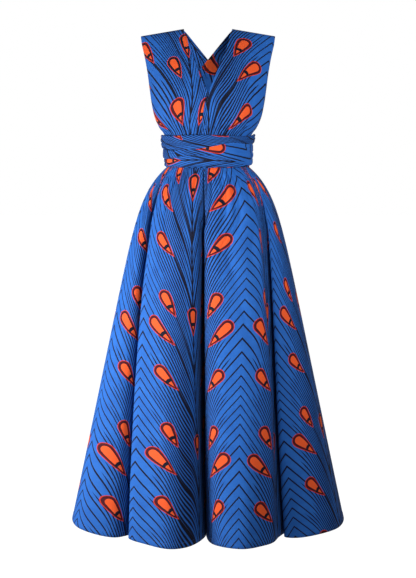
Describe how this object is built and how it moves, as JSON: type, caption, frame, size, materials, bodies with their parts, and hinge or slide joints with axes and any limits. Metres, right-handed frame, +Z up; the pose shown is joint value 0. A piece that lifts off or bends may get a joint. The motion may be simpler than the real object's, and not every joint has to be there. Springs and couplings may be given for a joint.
{
  "type": "wide leg jumpsuit",
  "caption": "Sleeveless wrap jumpsuit with very full wide legs gathered to a bound waist and broad straps that cross on the back.",
  "frame": {"origin": "where the jumpsuit hangs: midway between the shoulders, level with the tops of the straps beside the neck", "axes": "+Z up along the body, front towards -Y, the wearer's left towards +X"},
  "size_m": [0.745, 0.3974, 1.3619],
  "materials": {
    "printed_cotton": "smooth matt printed cotton, bright blue with near-black feather lines and orange drops"
  },
  "bodies": {
    "root": {"leg_right_front": "printed_cotton", "leg_right_back": "printed_cotton", "leg_left_front": "printed_cotton", "leg_left_back": "printed_cotton", "waistband": "printed_cotton", "strap_right_front": "printed_cotton", "strap_left_front": "printed_cotton", "strap_right_back": "printed_cotton", "strap_left_back": "printed_cotton", "wrap_right_front_low": "printed_cotton", "wrap_right_back": "printed_cotton", "wrap_right_front_high": "printed_cotton", "wrap_right_end": "printed_cotton", "wrap_left_front": "printed_cotton", "wrap_left_end": "printed_cotton"}
  },
  "joints": []
}
